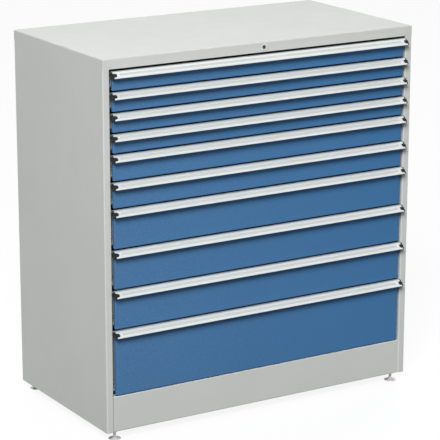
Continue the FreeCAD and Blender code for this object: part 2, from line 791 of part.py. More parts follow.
def drawer_handle(doc, s, at, name, z):
    """Handle extrusion: sloping label channel, front lip and open finger space behind it."""
    body = new_body(doc, name, ZERO, at.front, z)
    lip_y, lip_z = along_slope(s, UPPER_LIP_SHARE)
    end_y, end_z = along_slope(s, UPPER_LIP_SHARE + LABEL_CHANNEL_SHARE)
    nose_y, nose_z = handle_slope(s)[1]
    wall = s.handle_wall
    bottom = -s.handle_height
    inner_y = s.handle_proud - s.nose_wall
    # Proud distances point to the front, so they are drawn as negative y
    section = [
        (s.handle_hook, ZERO),
        (s.handle_hook, -wall),
        (ZERO, -wall),
        (ZERO, bottom),
        (-wall, bottom),
        (-wall, -wall - s.label_depth),
        (-inner_y, nose_z - s.nose_wall),
        (-inner_y, bottom),
        (-nose_y, bottom, s.nose_radius),
        (-nose_y, nose_z, s.nose_radius),
        (-end_y, end_z),
        (-end_y, end_z - s.label_depth),
        (-lip_y, lip_z - s.label_depth),
        (-lip_y, lip_z),
        (-s.handle_top_reach, ZERO),
    ]
    pad(body, f"{name}_section", "YZ_Plane", -at.handle_half, at.handle_half * 2, section)
    return body


def handle_end_caps(doc, s, at, name, z):
    """Plastic end caps: a plate, a tongue in the label channel and a stud over the slope."""
    body = new_body(doc, f"{name}_right", ZERO, at.front, z)
    bottom = -s.handle_height
    nose_z = s.nose_height - s.handle_height
    section = [
        (ZERO, ZERO),
        (ZERO, bottom),
        (s.cap_bevel - s.handle_proud, bottom),
        (-s.handle_proud, bottom + s.cap_bevel),
        (-s.handle_proud, nose_z),
        (-s.handle_top_reach, ZERO),
    ]
    start = at.handle_half
    pad(body, f"{name}_plate", "YZ_Plane", start, s.cap_plate, section)

    upper = UPPER_LIP_SHARE + TONGUE_MARGIN_SHARE
    lower = UPPER_LIP_SHARE + LABEL_CHANNEL_SHARE - TONGUE_MARGIN_SHARE
    upper_y, upper_z = along_slope(s, upper)
    lower_y, lower_z = along_slope(s, lower)
    tongue = [
        (-upper_y, upper_z),
        (-upper_y, upper_z - s.label_depth),
        (-lower_y, lower_z - s.label_depth),
        (-lower_y, lower_z),
    ]
    reach = s.stud_inset + s.stud_length
    pad(body, f"{name}_tongue", "YZ_Plane", start - reach, reach, tongue)

    top_y, top_z = along_slope(s, STUD_TOP_SHARE)
    foot_y, foot_z = along_slope(s, STUD_FOOT_SHARE)
    face = s.handle_proud - s.stud_setback
    stud = [
        (-top_y, top_z),
        (s.stud_bevel - face, top_z),
        (-face, top_z - s.stud_bevel),
        (-face, foot_z),
        (-foot_y, foot_z),
    ]
    pad(body, f"{name}_stud", "YZ_Plane", start - reach, s.stud_length, stud)
    return mirrored_pair(doc, name, body, "x")


def drawer(doc, s, at, number):
    """All sub-parts of one drawer, with its intermediate slide members."""
    name = f"drawer_{number + 1:02d}"
    pitch = s.module_height * DRAWER_UNITS[number]
    z = s.foot_height + at.division(s, number)
    lowest = number == len(DRAWER_UNITS) - 1
    front_low = -s.lowest_drop if lowest else -s.front_drop
    handle_top = pitch - s.front_drop - s.front_gap
    front_high = handle_top - s.handle_wall
    mid_web = at.opening - s.rail_sheet - s.rail_clearance
    mid_half = s.rail_height / 2 - s.rail_sheet - s.rail_clearance
    return [
        drawer_tray(doc, s, at, f"{name}_tray", z, pitch),
        drawer_front(doc, s, at, f"{name}_front", z, front_low, front_high),
        drawer_handle(doc, s, at, f"{name}_handle", z + handle_top),
        handle_end_caps(doc, s, at, f"{name}_end_caps", z + handle_top),
        slide_member(doc, s, at, f"{name}_mid_rails", z, mid_web, mid_half),
    ]


def check(doc, parts):
    """Stop if any object failed, a cut removed nothing or a sub-part has no valid shape."""
    doc.recompute()
    for thing in doc.Objects:
        if "Invalid" in thing.State or "Error" in thing.State:
            raise RuntimeError(f"{thing.Name} failed: {thing.State}")
        if thing.TypeId == "PartDesign::Pocket":
            if thing.Shape.Volume >= thing.BaseFeature.Shape.Volume:
                raise RuntimeError(f"{thing.Name} cuts nothing")
    for part in parts:
        if part.Shape.isNull() or not part.Shape.isValid():
            raise RuntimeError(f"{part.Label} has no valid shape")


def main():
    doc = FreeCAD.newDocument("drawer_cabinet")
    s = Sizes(doc, SIZES)
    doc.recompute()
    at = Layout(s)
    parts = [
        side_panel(doc, s, at, "left_side", -1),
        side_panel(doc, s, at, "right_side", 1),
        top_panel(doc, s, at),
        back_panel(doc, s, at),
        base_pan(doc, s, at),
        levelling_feet(doc, s, at),
        cabinet_rails(doc, s, at),
        lock_housing(doc, s, at),
        lock_plug(doc, s, at),
        lock_bar(doc, s, at),
    ]
    for number in range(len(DRAWER_UNITS)):
        parts += drawer(doc, s, at, number)
    check(doc, parts)
    os.makedirs("parts", exist_ok=True)
    for part in parts:
        part.Shape.exportStep(f"parts/{part.Label}.step")
    print(f"{len(parts)} sub-parts written")


main()
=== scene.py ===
"""Steel drawer cabinet: ten blue drawer fronts with label handles in a light grey carcass."""
import math

import bpy
import numpy as np
from mathutils import Matrix, Vector


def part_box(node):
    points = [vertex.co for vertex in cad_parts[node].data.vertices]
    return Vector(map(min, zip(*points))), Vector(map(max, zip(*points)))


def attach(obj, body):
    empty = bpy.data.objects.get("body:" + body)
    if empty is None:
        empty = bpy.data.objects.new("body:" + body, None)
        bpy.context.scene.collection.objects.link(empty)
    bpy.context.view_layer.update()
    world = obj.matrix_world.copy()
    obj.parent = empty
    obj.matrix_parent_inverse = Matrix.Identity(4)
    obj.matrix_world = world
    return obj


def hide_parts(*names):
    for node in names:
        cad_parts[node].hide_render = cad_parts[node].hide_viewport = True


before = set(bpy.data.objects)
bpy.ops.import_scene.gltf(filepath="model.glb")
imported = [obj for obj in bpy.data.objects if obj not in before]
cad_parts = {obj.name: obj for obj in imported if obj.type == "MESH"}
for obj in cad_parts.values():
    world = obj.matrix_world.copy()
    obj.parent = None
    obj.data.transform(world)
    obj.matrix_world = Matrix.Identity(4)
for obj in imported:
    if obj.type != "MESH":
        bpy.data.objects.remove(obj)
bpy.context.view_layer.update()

MM = 0.001
DRAWERS = [f"{number:02d}" for number in range(1, 11)]

# Small breaks on edges. A guard ring or point beside a rounded edge keeps the flat next to it flat.
EDGE_BREAK = 0.15 * MM
BREAK_GUARD = 3
GUARD = 0.35 * MM
GUARD_SHARE = 0.2
SHARP_EDGE = math.radians(35)

# Drawer fronts
FRONT_SHEET = 1.2 * MM
FRONT_BEND = 2 * MM
FRONT_CORNER = 2.6 * MM
FRONT_WEAR = 0.8

# Handle section, measured forward of the drawer front and down from its flat top. The channel's
# start and end are shares of the sloping face.
HANDLE_WALL = 1.5 * MM
HANDLE_BREAK = 0.12 * MM
NOSE_WALL = 2.2 * MM
NOSE_HEIGHT = 4.3 * MM
TOP_REACH = 4 * MM
CHANNEL_START = 0.35
CHANNEL_END = 0.76
CHANNEL_DEPTH = 0.8 * MM

# Label strips in the channel
LABEL_THICKNESS = 0.45 * MM
LABEL_MARGIN = 19.5 * MM
LABEL_CORNER = 2.2 * MM
LABEL_PLAY = 0.2 * MM
LABEL_EDGE = 0.08 * MM

# End caps: the plate takes the place of the handle's last few millimetres. The stud's top and
# foot and the tongue's play are shares of the sloping face.
PLATE_OVERLAP = 2.4 * MM
PLATE_ROUND = 0.6 * MM
PLATE_WEAR = 0.7
TONGUE_PLAY = 0.02
TONGUE_BREAK = 0.1 * MM
STUD_LENGTH = 9.5 * MM
STUD_INSET = 0.3 * MM
STUD_SETBACK = 0.5 * MM
STUD_TOP = 0.3
STUD_FOOT = 0.985
STUD_CORNER = 2.6 * MM
STUD_ROUND = 1.1 * MM
STUD_WEAR = 0.6

# Screw feet
THREAD_PITCH = 1.25 * MM
THREAD_DEPTH = 0.5 * MM
THREAD_RINGS = 200
STEM_RADIUS = 4 * MM
TIP_CHAMFER = 0.6 * MM
TIP_LENGTH = 2 * MM
PAD_RADIUS = 16.5 * MM
PAD_EDGE = 2 * MM
PAD_CROWN = 6 * MM
FOOT_STEPS = 48
FOOT_NUT_ACROSS = 13 * MM
FOOT_NUT_HEIGHT = 6.5 * MM

# Lock housing
RING_RADIUS = 9.5 * MM
RING_THICKNESS = 2 * MM
BARREL_RADIUS = 8 * MM
BARREL_LENGTH = 22 * MM
PLUG_RADIUS = 5.5 * MM
PLUG_PLAY = 0.05 * MM
LOCK_STEPS = 72
LOCK_NUT_ACROSS = 21 * MM
LOCK_NUT_THICKNESS = 4 * MM
CARCASS_SHEET = 1.2 * MM

# Hexagonal nuts: the chamfer's cone starts at a share of the width and rises at a slope
NUT_STEPS = 96
NUT_RINGS = 13
CHAMFER_START = 0.97
CHAMFER_SLOPE = 1.7
NUT_WEAR = 0.8

# The handle's place against its drawer front, the same on every drawer
handle_low, handle_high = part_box("drawer_01_handle")
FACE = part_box("drawer_01_front")[0].y
REACH = FACE - handle_low.y
FALL = handle_high.z - handle_low.z - NOSE_HEIGHT


# Surfaces


def add_object(name, data):
    """A new object in the scene, at the origin."""
    made = bpy.data.objects.new(name, data)
    bpy.context.scene.collection.objects.link(made)
    return made


def quarter_turn(steps):
    """Angles from 0 to a right angle."""
    return np.linspace(0, math.pi / 2, steps + 1)


def full_turn(steps):
    """Angles once round, without the last one, which is the first again."""
    return np.linspace(0, 2 * math.pi, steps, endpoint=False)


def rounded_outline(corners, steps):
    """Closed outline in a plane from rows (u, v, radius), counterclockwise.

    Each corner's arc is its centre plus or minus the radius times the outward normal, which turns
    evenly from one side's normal to the next's. A guard point on each side keeps that side flat.
    Returns the points, their outward normals and their wear, 1 on outer arcs and 0 elsewhere.
    """
    table = np.array(corners, float)
    spot, radius = table[:, :2], table[:, 2:3]
    arriving = spot - np.roll(spot, 1, 0)
    leaving = np.roll(spot, -1, 0) - spot
    in_length = np.linalg.norm(arriving, axis=1, keepdims=True)
    out_length = np.linalg.norm(leaving, axis=1, keepdims=True)
    arriving, leaving = arriving / in_length, leaving / out_length
    first = np.c_[arriving[:, 1], -arriving[:, 0]]
    last = np.c_[leaving[:, 1], -leaving[:, 0]]
    bulge = np.sign(arriving[:, :1] * leaving[:, 1:] - arriving[:, 1:] * leaving[:, :1])
    turn = np.arccos(np.clip((arriving * leaving).sum(1, keepdims=True), -1, 1))
    centre = spot - arriving * radius * np.tan(turn / 2) - first * radius * bulge
    share = np.linspace(0, 1, steps + 1)[None, :, None]
    angle = turn[:, None]
    normal = (np.sin((1 - share) * angle) * first[:, None]
              + np.sin(share * angle) * last[:, None]) / np.sin(angle)
    arc = centre[:, None] + normal * (radius * bulge)[:, None]
    guard = np.minimum(GUARD, GUARD_SHARE * np.minimum(in_length, out_length))[:, None]
    before = arc[:, :1] - arriving[:, None] * guard
    after = arc[:, -1:] + leaving[:, None] * guard
    points = np.concatenate([before, arc, after], axis=1)
    normals = np.concatenate([normal[:, :1], normal, normal[:, -1:]], axis=1)
    wear = np.zeros(points.shape[:2])
    wear[:, 1:-1] = np.maximum(bulge, 0)
    return points.reshape(-1, 2), normals.reshape(-1, 2), wear.reshape(-1)


def rectangle(u_low, u_high, v_low, v_high, radius):
    """Corners of a rectangle with one radius, counterclockwise."""
    return [(u_low, v_low, radius), (u_high, v_low, radius),
            (u_high, v_high, radius), (u_low, v_high, radius)]


def in_space(flat, depth, axis):
    """Puts points of a plane (u, v) at their depth along x, y or z."""
    u, v = flat[..., 0], flat[..., 1]
    depth = np.broadcast_to(depth, u.shape)
    order = {"x": (depth, u, v), "y": (u, depth, v), "z": (u, v, depth)}[axis]
    return np.stack(order, axis=-1)


def stacked(outline, rings, axis):
    """Grid of one outline carried along an axis.

    Point (i, j) is outline point j moved inwards by ring i's inset, at ring i's depth. rings holds
    rows (inset, depth, wear), and a point's wear is the larger of its ring's and the outline's.
    """
    points, normals, wear = outline
    rings = np.array(rings, float)
    flat = points[None] - normals[None] * rings[:, :1, None]
    return in_space(flat, rings[:, 1:2], axis), np.maximum(rings[:, 2:3], wear[None])


def carried(outline, start, end, axis, edge):
    """Closed bar: the outline carried from start to end, with a small break round both ends."""
    guard = edge * BREAK_GUARD
    rings = [(edge, start, 1), (0, start + edge, 1), (0, start + guard, 0),
             (0, end - guard, 0), (0, end - edge, 1), (edge, end, 1)]
    return (*stacked(outline, rings, axis), "capped")


def turned(radius, depth, angles, axis, centre):
    """Surface round an axis: point (i, j) is centre plus radius (i, j) in the direction of angle
    j, at depth i along the axis."""
    radius = np.broadcast_to(radius, (len(depth), len(angles)))
    flat = np.stack([radius * np.cos(angles), radius * np.sin(angles)], axis=-1)
    return in_space(flat + np.array(centre), depth, axis)


def faces_inwards(points, quads, caps):
    """Whether closed faces enclose a negative volume: the sum over the triangles of each face, of
    its first corner times the cross product of the other two."""
    corner = points[quads]
    across = np.cross(corner[:, 1], corner[:, 2]) + np.cross(corner[:, 2], corner[:, 3])
    volume = np.einsum("ij,ij->", corner[:, 0], across)
    for cap in caps:
        ring = points[cap]
        volume += np.einsum("j,ij->", ring[0], np.cross(ring[1:-1], ring[2:]))
    return volume < 0


def skin(name, shells, material):
    """One mesh object from closed shells, each a grid of points with wear and a kind of closing.

    Rows i of a grid are closed rings. Quads join ring i to ring i + 1. A capped shell has one
    face over its first ring and one over its last, and a looped shell joins its last ring to its
    first. A shell that comes out inside out is turned round.
    """
    vertices, faces, worn = [], [], []
    count = 0
    for grid, wear, kind in shells:
        rows, columns = grid.shape[:2]
        index = np.arange(rows * columns).reshape(rows, columns)
        low, high = (index, np.roll(index, -1, 0)) if kind == "looped" else (index[:-1], index[1:])
        quads = np.stack([low, np.roll(low, -1, 1), np.roll(high, -1, 1), high], axis=-1)
        quads = quads.reshape(-1, 4)
        caps = [index[0, ::-1], index[-1]] if kind == "capped" else []
        points = grid.reshape(-1, 3)
        if faces_inwards(points - points.mean(0), quads, caps):
            quads, caps = quads[:, ::-1], [cap[::-1] for cap in caps]
        faces += (quads + count).tolist() + [(cap + count).tolist() for cap in caps]
        vertices.append(points)
        worn.append(np.broadcast_to(wear, (rows, columns)).reshape(-1))
        count += rows * columns
    mesh = bpy.data.meshes.new(name)
    mesh.from_pydata(np.concatenate(vertices).tolist(), [], faces)
    attribute = mesh.attributes.new("wear", "FLOAT", "POINT")
    attribute.data.foreach_set("value", np.concatenate(worn).astype(np.float32))
    mesh.validate()
    mesh.shade_smooth()
    mesh.set_sharp_from_angle(angle=SHARP_EDGE)
    mesh.materials.append(material)
    return add_object(name, mesh)


# Materials


class Value:
    """A shader socket in Python arithmetic: each operation adds one Math node."""

    def __init__(self, shader, socket):
        self.shader = shader
        self.socket = socket

    def __add__(self, other):
        return self.shader.maths("ADD", self, other)

    def __radd__(self, other):
        return self.shader.maths("ADD", other, self)

    def __sub__(self, other):
        return self.shader.maths("SUBTRACT", self, other)

    def __rsub__(self, other):
        return self.shader.maths("SUBTRACT", other, self)

    def __mul__(self, other):
        return self.shader.maths("MULTIPLY", self, other)

    def __rmul__(self, other):
        return self.shader.maths("MULTIPLY", other, self)


class Shader:
    """The nodes of one material or world."""

    def __init__(self, owner):
        self.owner = owner
        owner.use_nodes = True
        self.tree = owner.node_tree
        self.tree.nodes.clear()

    def node(self, kind, settings=None, inputs=None, output=0):
        """Adds a node: its settings first, then a value or a link for each socket."""
        made = self.tree.nodes.new(kind)
        for key, value in (settings or {}).items():
            setattr(made, key, value)
        for key, value in (inputs or {}).items():
            if isinstance(value, Value):
                self.tree.links.new(value.socket, made.inputs[key])
            else:
                made.inputs[key].default_value = value
        return Value(self, made.outputs[output])

    def maths(self, operation, first, second, clamp=False):
        """One Math node."""
        settings = {"operation": operation, "use_clamp": clamp}
        return self.node("ShaderNodeMath", settings, {0: first, 1: second})

    def mix(self, share, first, second):
        """Mix of two colours. The node's colour sockets are numbers 6 and 7, and output 2."""
        settings = {"data_type": "RGBA"}
        return self.node("ShaderNodeMix", settings, {0: share, 6: first, 7: second}, 2)

    def noise(self, scale, detail, rough=0.5, stretch=(1, 1, 1)):
        """Noise on object coordinates in metres, with scale features a metre."""
        where = self.node("ShaderNodeTexCoord", output="Object")
        where = self.node("ShaderNodeMapping", None, {"Vector": where, "Scale": stretch})
        inputs = {"Vector": where, "Scale": scale, "Detail": detail, "Roughness": rough}
        return self.node("ShaderNodeTexNoise", None, inputs)

    def span(self, value, low, high, to_low=0.0, to_high=1.0):
        """Maps low..high to to_low..to_high, and holds it there."""
        inputs = {0: value, 1: low, 2: high, 3: to_low, 4: to_high}
        return self.node("ShaderNodeMapRange", None, inputs)

    def edges(self, of_mesh):
        """Mask of outer edges, 0 to 1: from the mesh's wear, or from a bevel of a plain mesh."""
        if of_mesh:
            return self.node("ShaderNodeAttribute", {"attribute_name": "wear"}, None, 2)
        soft = self.node("ShaderNodeBevel", {"samples": 6}, {"Radius": 0.9 * MM})
        hard = self.node("ShaderNodeNewGeometry", output="Normal")
        settings = {"operation": "DOT_PRODUCT"}
        same = self.node("ShaderNodeVectorMath", settings, {0: soft, 1: hard}, 1)
        return self.span(same, 0.75, 0.99, 1.0, 0.0)

    def bump(self, height, distance, strength, **normal):
        """Bump of a height, over a Normal where one is given."""
        inputs = {"Height": height, "Distance": distance, "Strength": strength, **normal}
        return self.node("ShaderNodeBump", None, inputs)

    def seen(self):
        """1 for camera, glossy and transmission rays, and 0 for all others."""
        total = self.node("ShaderNodeLightPath", output="Is Camera Ray")
        for ray in ("Is Glossy Ray", "Is Transmission Ray"):
            total = self.maths("ADD", total, self.node("ShaderNodeLightPath", output=ray), True)
        return total

    def surface(self, **inputs):
        """The main shader and the output. Returns the material."""
        names = {key.replace("_", " "): value for key, value in inputs.items()}
        return self.end("ShaderNodeOutputMaterial",
                        self.node("ShaderNodeBsdfPrincipled", None, names))

    def end(self, kind, shader):
        """Links a shader to an output node. Returns the material or world."""
        made = self.tree.nodes.new(kind)
        self.tree.links.new(shader.socket, made.inputs["Surface"])
        return self.owner


def new_shader(name):
    """The nodes of a new material."""
    return Shader(bpy.data.materials.new(name))


def tone(colour, factor=1.0):
    """A colour with alpha 1, each channel times a factor."""
    return (*(channel * factor for channel in colour), 1.0)


def powder_coat(name, colour, of_mesh, roughness=0.42, shine=0.25):
    """Sprayed and baked paint: fine orange peel, a slow drift of tone and thin paint on edges."""
    s = new_shader(name)
    drift = s.noise(scale=3.5, detail=3.0)
    cloud = s.noise(scale=26.0, detail=4.0, rough=0.6)
    peel = s.noise(scale=620.0, detail=2.0, rough=0.45)
    grit = s.noise(scale=2600.0, detail=1.0)
    base = s.mix(s.span(drift, 0.3, 0.7), tone(colour, 0.975), tone(colour, 1.02))
    base = s.mix(s.span(cloud, 0.42, 0.75) * 0.25, base, tone(colour, 0.97))
    edge = s.edges(of_mesh)
    thin = edge * s.span(s.noise(scale=190.0, detail=3.0), 0.3, 0.7, 0.25, 1.0)
    undercoat = tuple(channel * 0.72 + 0.2 for channel in colour)
    base = s.mix(thin * 0.15, base, tone(undercoat))
    chip = edge * s.span(s.noise(scale=420.0, detail=2.0), 0.66, 0.7)
    base = s.mix(chip * 0.45, base, tone((0.33, 0.33, 0.32)))
    gloss = s.span(cloud, 0.25, 0.75, roughness - 0.05, roughness + 0.06)
    gloss = gloss + grit * 0.04 + thin * 0.08
    normal = s.bump(peel, 0.025 * MM, 0.5)
    normal = s.bump(grit, 0.008 * MM, 0.5, Normal=normal)
    return s.surface(Base_Color=base, Roughness=gloss, Normal=normal, Specular_IOR_Level=shine)


def anodised_aluminium(name, colour):
    """Extruded and anodised aluminium: fine die lines along the handle, brighter worn edges."""
    s = new_shader(name)
    lines = s.noise(scale=1900.0, detail=3.0, rough=0.6, stretch=(0.004, 1.0, 1.0))
    broad = s.noise(scale=240.0, detail=2.0, stretch=(0.01, 1.0, 1.0))
    cloud = s.noise(scale=18.0, detail=3.0)
    base = s.mix(s.span(broad, 0.3, 0.7), tone(colour, 0.95), tone(colour, 1.03))
    base = s.mix(s.span(cloud, 0.45, 0.8) * 0.3, base, tone(colour, 0.9))
    edge = s.edges(of_mesh=True)
    base = s.mix(edge * 0.3, base, tone((0.85, 0.86, 0.86)))
    gloss = s.span(lines, 0.25, 0.75, 0.38, 0.5) + s.span(cloud, 0.3, 0.7, 0.0, 0.05)
    gloss = gloss - edge * 0.06
    normal = s.bump(lines, 0.012 * MM, 0.4)
    return s.surface(Base_Color=base, Metallic=0.6, Roughness=gloss, Normal=normal)


def moulded_plastic(name, colour):
    """Black moulded plastic: leathery grain and slightly polished edges."""
    s = new_shader(name)
    grain = s.noise(scale=1500.0, detail=3.0, rough=0.55)
    cloud = s.noise(scale=60.0, detail=2.0)
    base = s.mix(s.span(cloud, 0.35, 0.7), tone(colour), tone(colour, 1.5))
    edge = s.edges(of_mesh=True)
    base = s.mix(edge * 0.25, base, tone((0.06, 0.06, 0.06)))
    gloss = s.span(grain, 0.3, 0.7, 0.42, 0.58) - edge * 0.1
    normal = s.bump(grain, 0.03 * MM, 0.5)
    return s.surface(Base_Color=base, Roughness=gloss, Normal=normal, Specular_IOR_Level=0.2)


def zinc_plate(name, colour, of_mesh, metal=0.88):
    """Zinc plated steel: soft grey patches of passivation over fine rolling lines."""
    s = new_shader(name)
    patch = s.noise(scale=55.0, detail=4.0, rough=0.6)
    lines = s.noise(scale=1400.0, detail=2.0, rough=0.6, stretch=(1.0, 0.02, 1.0))
    base = s.mix(s.span(patch, 0.3, 0.7), tone(colour, 0.86), tone(colour, 1.08))
    tint = s.span(s.noise(scale=21.0, detail=2.0), 0.5, 0.75)
    base = s.mix(tint * 0.25, base, tone((0.6, 0.58, 0.5)))
    edge = s.edges(of_mesh)
    base = s.mix(edge * 0.35, base, tone((0.78, 0.78, 0.78)))
    gloss = s.span(patch, 0.25, 0.75, 0.3, 0.44) + s.span(lines, 0.3, 0.7, 0.0, 0.07)
    normal = s.bump(lines, 0.01 * MM, 0.4)
    return s.surface(Base_Color=base, Metallic=metal, Roughness=gloss, Normal=normal)


def polished_nickel(name, colour):
    """Nickel plated lock parts: hairline key scratches under a duller film in patches."""
    s = new_shader(name)
    film = s.noise(scale=320.0, detail=3.0)
    hair = s.noise(scale=2400.0, detail=2.0, rough=0.6, stretch=(1.0, 1.0, 0.05))
    base = s.mix(s.span(film, 0.4, 0.75) * 0.6, tone(colour), tone(colour, 0.8))
    gloss = s.span(film, 0.3, 0.7, 0.12, 0.22) + s.span(hair, 0.55, 0.7, 0.0, 0.12)
    normal = s.bump(hair, 0.006 * MM, 0.35)
    return s.surface(Base_Color=base, Metallic=1.0, Roughness=gloss, Normal=normal)


def label_card(name, colour):
    """White card behind a clear film: paper fibres below, a smooth coat above."""
    s = new_shader(name)
    fibre = s.noise(scale=900.0, detail=4.0, rough=0.65)
    cloud = s.noise(scale=14.0, detail=3.0)
    base = s.mix(s.span(cloud, 0.3, 0.7), tone(colour, 0.96), tone(colour, 1.02))
    base = s.mix(s.span(fibre, 0.35, 0.8) * 0.3, base, tone(colour, 0.93))
    gloss = s.span(fibre, 0.3, 0.7, 0.5, 0.62)
    normal = s.bump(fibre, 0.01 * MM, 0.3)
    return s.surface(Base_Color=base, Roughness=gloss, Normal=normal, Coat_Weight=0.45,
                     Coat_Roughness=0.12)


CARCASS_GREY = (0.545, 0.565, 0.545)
FRONT_BLUE = (0.048, 0.155, 0.328)
TRAY_GREY = (0.5, 0.52, 0.5)
ALUMINIUM = (0.8, 0.845, 0.85)
CAP_BLACK = (0.006, 0.006, 0.0065)
ZINC = (0.6, 0.61, 0.62)
# Lighter zinc for the feet: painted light that lifts the feet out of the shade under the cabinet
FOOT_ZINC_PAINTED_LIGHT = (0.82, 0.83, 0.83)
NICKEL = (0.74, 0.75, 0.76)
PLUG_STEEL = (0.13, 0.13, 0.125)
CARD = (0.525, 0.535, 0.51)

carcass_paint = powder_coat("carcass_paint", CARCASS_GREY, of_mesh=False, shine=0.18)
front_paint = powder_coat("front_paint", FRONT_BLUE, of_mesh=True, roughness=0.36, shine=0.08)
tray_paint = powder_coat("tray_paint", TRAY_GREY, of_mesh=False)
handle_aluminium = anodised_aluminium("handle_aluminium", ALUMINIUM)
cap_plastic = moulded_plastic("cap_plastic", CAP_BLACK)
zinc_sheet = zinc_plate("zinc_sheet", ZINC, of_mesh=False)
# The feet's zinc is painted lighter and less metallic than the sheet zinc, a painted brightening
# that stands in for light on the shaded feet
zinc_turned_painted_light = zinc_plate("zinc_turned_painted_light", FOOT_ZINC_PAINTED_LIGHT, of_mesh=True, metal=0.5)
lock_nickel = polished_nickel("lock_nickel", NICKEL)
plug_steel = polished_nickel("plug_steel", PLUG_STEEL)
white_card = label_card("white_card", CARD)


# Drawer fronts, handles, labels and end caps


def drawer_front(number):
    """Sheet folded back on four sides: one rounded rectangle stacked in rings.

    The inset runs from the face's edge along a quarter circle to zero, straight back to the rim,
    over the sheet's edge and inside again, always one sheet thickness away.
    """
    low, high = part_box(f"drawer_{number}_front")
    outline = rounded_outline(rectangle(low.x, high.x, low.z, high.z, FRONT_CORNER), 6)
    turn = quarter_turn(6)
    bend = FRONT_BEND - FRONT_SHEET
    floor = low.y + FRONT_SHEET
    outer = [(FRONT_BEND * (1 - math.sin(a)), low.y + FRONT_BEND * (1 - math.cos(a)), FRONT_WEAR)
             for a in turn]
    inner = [(FRONT_SHEET + bend * (1 - math.cos(a)), floor + bend * (1 - math.sin(a)), 0)
             for a in turn]
    edge, guard = EDGE_BREAK, EDGE_BREAK * BREAK_GUARD
    rings = [(FRONT_BEND + GUARD, low.y, 0), *outer, (0, low.y + FRONT_BEND + GUARD, 0),
             (0, high.y - guard, 0), (0, high.y - edge, 1), (edge, high.y, 1),
             (FRONT_SHEET - edge, high.y, 1), (FRONT_SHEET, high.y - edge, 1),
             (FRONT_SHEET, high.y - guard, 0), *inner, (FRONT_BEND + GUARD, floor, 0)]
    return skin(f"front_{number}", [(*stacked(outline, rings, "y"), "capped")], front_paint)


def slope_point(top, share, sink=0.0):
    """(y, z) on the handle's sloping face, by the share of the slope above it, sunk by a depth."""
    return FACE - (TOP_REACH + (REACH - TOP_REACH) * share), top - FALL * share - sink


def drawer_handle(number):
    """Extrusion with a sloping label channel, a front lip and open finger space behind it."""
    low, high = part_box(f"drawer_{number}_handle")
    back, top, nose, bottom = high.y, high.z, low.y, low.z
    nose_top = bottom + NOSE_HEIGHT
    nose_back = nose + NOSE_WALL
    wall_front = FACE - HANDLE_WALL
    outline = rounded_outline([
        (back, top, 0.25 * MM),
        (FACE - TOP_REACH, top, 1.1 * MM),
        (*slope_point(top, CHANNEL_START), 0.3 * MM),
        (*slope_point(top, CHANNEL_START, CHANNEL_DEPTH), 0.12 * MM),
        (*slope_point(top, CHANNEL_END, CHANNEL_DEPTH), 0.12 * MM),
        (*slope_point(top, CHANNEL_END), 0.3 * MM),
        (nose, nose_top, 1.2 * MM),
        (nose, bottom, 0.9 * MM),
        (nose_back, bottom, 0.5 * MM),
        (nose_back, nose_top - NOSE_WALL, 0.6 * MM),
        (wall_front, top - HANDLE_WALL - CHANNEL_DEPTH, 0.5 * MM),
        (wall_front, bottom, 0.2 * MM),
        (FACE, bottom, 0.2 * MM),
        (FACE, top - HANDLE_WALL, 0.2 * MM),
        (back, top - HANDLE_WALL, 0.2 * MM),
    ], 5)
    bar = carried(outline, low.x + PLATE_OVERLAP, high.x - PLATE_OVERLAP, "x", HANDLE_BREAK)
    return skin(f"handle_{number}", [bar], handle_aluminium)


def label_strip(number):
    """Card strip in the handle's channel: a rounded rectangle on the slope, given its thickness.

    A point (u, v, w) goes u along the handle, v down the slope and w out of it.
    """
    low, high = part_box(f"drawer_{number}_handle")
    start = np.array(slope_point(high.z, CHANNEL_START, CHANNEL_DEPTH))
    end = np.array(slope_point(high.z, CHANNEL_END, CHANNEL_DEPTH))
    width = np.linalg.norm(end - start)
    down = (end - start) / width
    out = np.array([down[1], -down[0]])
    corners = rectangle(low.x + LABEL_MARGIN, high.x - LABEL_MARGIN, LABEL_PLAY,
                        width - LABEL_PLAY, LABEL_CORNER)
    edge = LABEL_EDGE
    rings = [(edge, 0, 1), (0, edge, 1), (0, LABEL_THICKNESS - edge, 1),
             (edge, LABEL_THICKNESS, 1), (edge * 4, LABEL_THICKNESS, 0)]
    grid, wear = stacked(rounded_outline(corners, 5), rings, "z")
    u, v, w = np.moveaxis(grid, -1, 0)
    grid = np.stack([u, start[0] + down[0] * v + out[0] * w,
                     start[1] + down[1] * v + out[1] * w], axis=-1)
    return skin(f"label_{number}", [(grid, wear, "capped")], white_card)


def stud(x_low, x_high, top):
    """Rounded stud: a rounded rectangle seen from the front, from the slope to its face.

    Depth goes from the slope, at each point's own height, to the face, and the last rings draw in
    along a quarter circle.
    """
    high_z = slope_point(top, STUD_TOP)[1]
    low_z = slope_point(top, STUD_FOOT)[1]
    outline = rounded_outline(rectangle(x_low, x_high, low_z, high_z, STUD_CORNER), 7)
    turn = quarter_turn(5)
    insets = np.concatenate([[0], STUD_ROUND * (1 - np.cos(turn))])
    lift = np.concatenate([[0], STUD_ROUND * (1 - np.sin(turn))])
    grid, wear = stacked(outline, [(inset, 0, STUD_WEAR) for inset in insets], "y")
    slope_y = FACE - TOP_REACH - (top - grid[..., 2]) / FALL * (REACH - TOP_REACH)
    face_y = FACE - REACH + STUD_SETBACK
    grid[..., 1] = np.minimum(face_y + lift[:, None], slope_y)
    grid[0, :, 1] = slope_y[0]
    return grid, wear, "capped"


